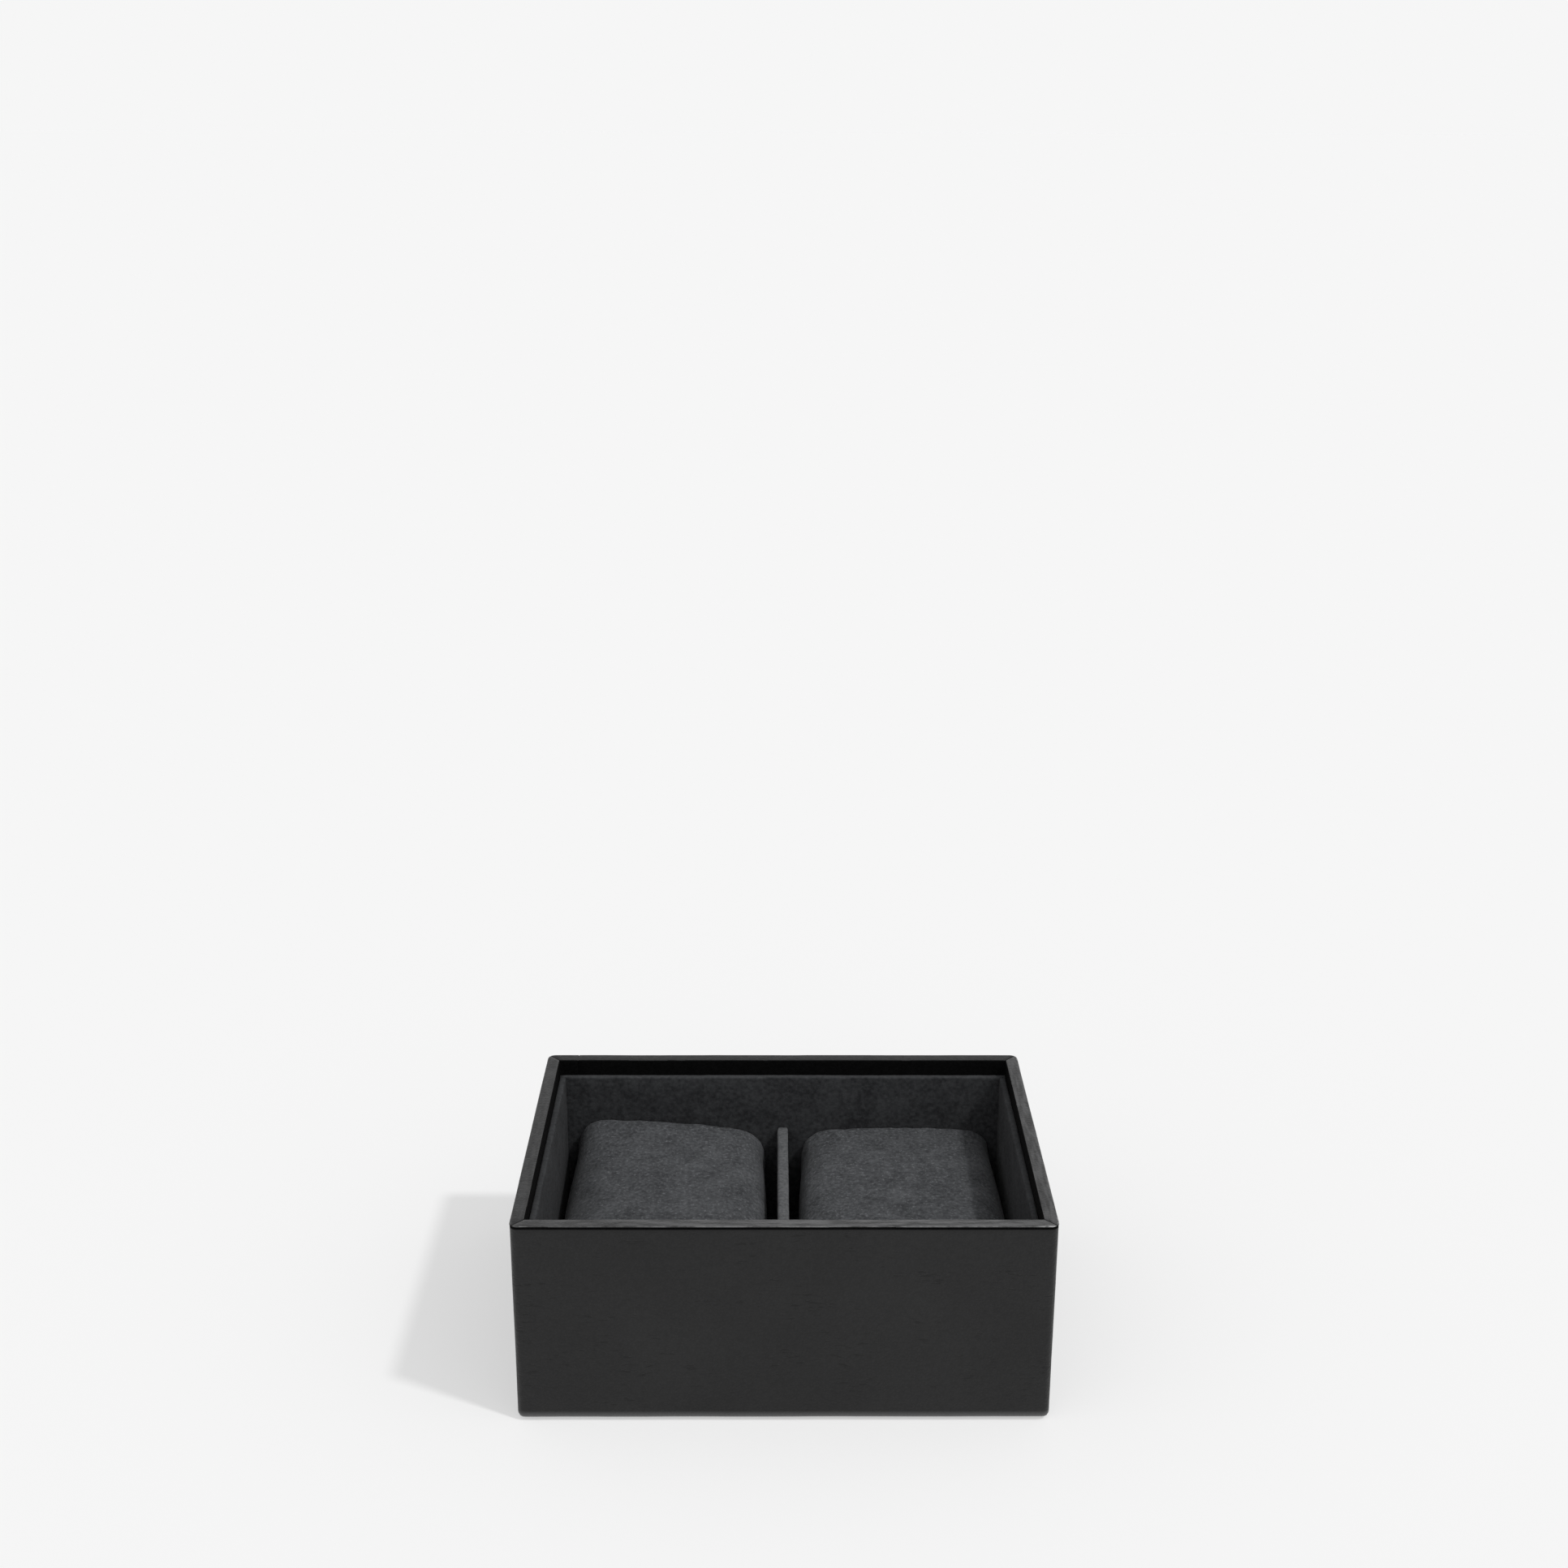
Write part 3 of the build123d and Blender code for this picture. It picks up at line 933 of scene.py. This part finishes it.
def blowUp(soft):
    scene = bpy.context.scene
    for obj, seam in soft:
        pins = obj.vertex_groups.new(name="seams")
        pins.add(seam, 1.0, "REPLACE")
        cloth = obj.modifiers.new("cloth", "CLOTH")
        cloth.settings.quality = cushion["quality"]
        cloth.settings.use_pressure = True
        cloth.settings.uniform_pressure_force = cushion["pressure"]
        cloth.settings.vertex_group_mass = "seams"
        cloth.settings.effector_weights.gravity = 0.0
        cloth.collision_settings.use_self_collision = False
    for count in range(1, cushion["frames"] + 1):
        scene.frame_set(count)
    graph = bpy.context.evaluated_depsgraph_get()
    for obj, seam in soft:
        blown = [v.co.copy() for v in obj.evaluated_get(graph).data.vertices]
        for v, target in zip(obj.data.vertices, blown):
            move = target - v.co
            if move.length > cushion["mostSwell"]:
                move *= cushion["mostSwell"] / move.length
            move.y = max(-cushion["mostEnd"], min(cushion["mostEnd"], move.y))
            v.co += move
        obj.modifiers.clear()
        obj.vertex_groups.clear()
    scene.frame_set(1)


def smoothCloth(obj, lowest):
    bm = bmesh.new()
    bm.from_mesh(obj.data)
    for v in bm.verts:
        v.co.z = max(v.co.z, lowest)
    crease = bm.edges.layers.float.new("crease_edge")
    for edge in bm.edges:
        ends = [abs(f.normal.y) > cushion["endFacing"] for f in edge.link_faces]
        if len(ends) == 2 and ends[0] != ends[1]:
            edge[crease] = cushion["endCrease"]
    bm.to_mesh(obj.data)
    bm.free()
    finer = obj.modifiers.new("finer", "SUBSURF")
    finer.levels = finer.render_levels = 1
    graph = bpy.context.evaluated_depsgraph_get()
    smooth = bpy.data.meshes.new_from_object(obj.evaluated_get(graph))
    obj.modifiers.clear()
    bm = bmesh.new()
    bm.from_mesh(smooth)
    bpy.data.meshes.remove(smooth)
    return bm


def openSeams(bm, side):
    sewn = bm.verts.layers.float["seam"]
    lines = [e for e in bm.edges if all(v[sewn] > 0.9 for v in e.verts)]
    print(side, "seam edges:", len(lines))
    for v in bm.verts:
        v[sewn] = 0.0
    strip = set(roundEdges(bm, lines, cushion["seamHalf"], 2)["faces"])
    bm.normal_update()
    for v in {v for face in strip for v in face.verts}:
        if all(face in strip for face in v.link_faces):
            v[sewn] = 1.0
    return sewn


def puckerCloth(bm, sewn, centre, half, floorTop):
    moves = []
    for v in bm.verts:
        out = v.normal.copy()
        fromSeam = half.y - abs(v.co.y - centre.y)
        near = math.exp(-max(0.0, fromSeam) / cushion["puckerReach"])
        spot = v.co / cushion["puckerSize"]
        spot.y *= cushion["puckerStretch"]
        pucker = noise.noise(spot) * cushion["puckerHeight"] * near
        spot = v.co / cushion["waveSize"] + cushion["waveShift"]
        wave = noise.noise(spot) * cushion["waveHeight"]
        fine = noise.noise(v.co / cushion["fineSize"]) * cushion["fineHeight"]
        free = v.co.z > floorTop + cushion["restHeight"]
        move = out * (pucker + wave + fine) * (1.0 if free else cushion["restShare"])
        moves.append((v, move - out * cushion["seamDepth"] * v[sewn]))
    for v, move in moves:
        v.co += move


def sewCushion(side, obj, centre, half):
    floorTop = nodeBox(*cushionParts(side))[0].z
    bm = smoothCloth(obj, floorTop - cushion["sag"])
    sewn = openSeams(bm, side)
    puckerCloth(bm, sewn, centre, half, floorTop)
    for face in bm.faces:
        face.smooth = True
    bm.to_mesh(obj.data)
    bm.free()
    obj.data.materials.clear()
    obj.data.materials.append(cushionVelvet)
    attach(obj, f"{side}_cushion")
    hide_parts(*cushionParts(side))
    print(side, "cushion:", len(obj.data.polygons), "faces")


def makeCushions():
    made = []
    for side in sides:
        bm, centre, half, seam = shapeCushion(side)
        made.append((side, finishPiece(bm, f"{side}Cushion", cushionVelvet), centre, half, seam))
    blowUp([(obj, seam) for side, obj, centre, half, seam in made])
    for side, obj, centre, half, seam in made:
        sewCushion(side, obj, centre, half)


makeCushions()


# carried-over pieces get their finishes

for name, obj in nodes.items():
    if name == "base_felt":
        finish = felt
    elif name.endswith("_card"):
        finish = greyCard
    elif name.endswith("_board"):
        finish = fibreboard
    else:
        continue
    obj.data.materials.clear()
    obj.data.materials.append(finish)


# floor, light and camera

studio = {
    "floorColour": (0.92, 0.92, 0.92),
    "floorRough": 0.9,
    "floorHalf": 30.0,
    "backColour": (0.922, 0.922, 0.922),
    "evenShare": 0.48,          # how much of the floor is the even backdrop and not its shading
    "worldStrength": 0.66,
    "worldLean": 0.7,           # the soft light is stronger from in front than from behind
    "sunStrength": 1.32,
    "sunAngle": math.radians(4.5),
    "towardsSun": Vector((48.5, -25.0, 76.7)),
}


def backdropRays(tree):
    path = tree.nodes.new("ShaderNodeLightPath").outputs
    direct = mathOf(tree, "MAXIMUM", path["Is Camera Ray"], path["Is Glossy Ray"])
    return mathOf(tree, "MAXIMUM", direct, path["Is Transmission Ray"])


def mixShaders(tree, share, first, second, surface):
    mix = tree.nodes.new("ShaderNodeMixShader")
    for place, output in enumerate((share, first, second)):
        tree.links.new(output, mix.inputs[place])
    tree.links.new(mix.outputs["Shader"], surface)


def makeFloor():
    bm = bmesh.new()
    bmesh.ops.create_grid(bm, x_segments=1, y_segments=1, size=studio["floorHalf"])
    floorMaterial, tree, shader, where = newMaterial("paleFloor")
    shader.inputs["Base Color"].default_value = (*studio["floorColour"], 1.0)
    shader.inputs["Roughness"].default_value = studio["floorRough"]
    shader.inputs["Specular IOR Level"].default_value = 0.0
    even = tree.nodes.new("ShaderNodeEmission")
    even.inputs["Color"].default_value = (*studio["backColour"], 1.0)
    share = spanValue(tree, backdropRays(tree), 0.0, studio["evenShare"])
    mixShaders(tree, share, shader.outputs["BSDF"], even.outputs["Emission"],
               tree.nodes["Material Output"].inputs["Surface"])
    floor = finishPiece(bm, "floor", floorMaterial, smooth=False)


def makeWorld():
    world = bpy.data.worlds.new("softRoom")
    bpy.context.scene.world = world
    world.use_nodes = True
    tree = world.node_tree
    tree.nodes.clear()
    lit = tree.nodes.new("ShaderNodeBackground")
    lit.inputs["Color"].default_value = (1.0, 1.0, 1.0, 1.0)
    aim = tree.nodes.new("ShaderNodeTexCoord")
    strength, lean = studio["worldStrength"], studio["worldLean"]
    rearward = splitAxes(tree, aim.outputs["Generated"])["Y"]
    tree.links.new(spanValue(tree, rearward, strength * (1 + lean), strength * (1 - lean),
                             -1.0, 1.0), lit.inputs["Strength"])
    seen = tree.nodes.new("ShaderNodeBackground")
    seen.inputs["Color"].default_value = (*studio["backColour"], 1.0)
    seen.inputs["Strength"].default_value = 1.0
    out = tree.nodes.new("ShaderNodeOutputWorld")
    mixShaders(tree, backdropRays(tree), lit.outputs["Background"], seen.outputs["Background"],
               out.inputs["Surface"])


def makeSun():
    sun = bpy.data.lights.new("keyLight", "SUN")
    sun.energy = studio["sunStrength"]
    sun.angle = studio["sunAngle"]
    key = bpy.data.objects.new("keyLight", sun)
    key.rotation_euler = studio["towardsSun"].to_track_quat("Z", "Y").to_euler()
    bpy.context.scene.collection.objects.link(key)


view = {
    "place": Vector((-0.0039, -0.637, 0.4221)),
    "pitch": math.radians(71.27),
    "roll": math.radians(-0.16),
    "yaw": math.radians(-0.28),
    "lens": 46.2,
    "sensor": 36.0,
    "nearest": 0.01,
    "farthest": 100.0,
}


def makeCamera():
    camera = bpy.data.cameras.new("camera")
    camera.lens = view["lens"]
    camera.sensor_width = view["sensor"]
    camera.clip_start = view["nearest"]
    camera.clip_end = view["farthest"]
    stand = bpy.data.objects.new("camera", camera)
    stand.location = view["place"]
    stand.rotation_euler = (view["pitch"], view["roll"], view["yaw"])
    bpy.context.scene.collection.objects.link(stand)
    bpy.context.scene.camera = stand


makeFloor()
makeWorld()
makeSun()
makeCamera()
bpy.context.scene.view_settings.view_transform = "Standard"
print("studio is set")

bpy.context.view_layer.update()
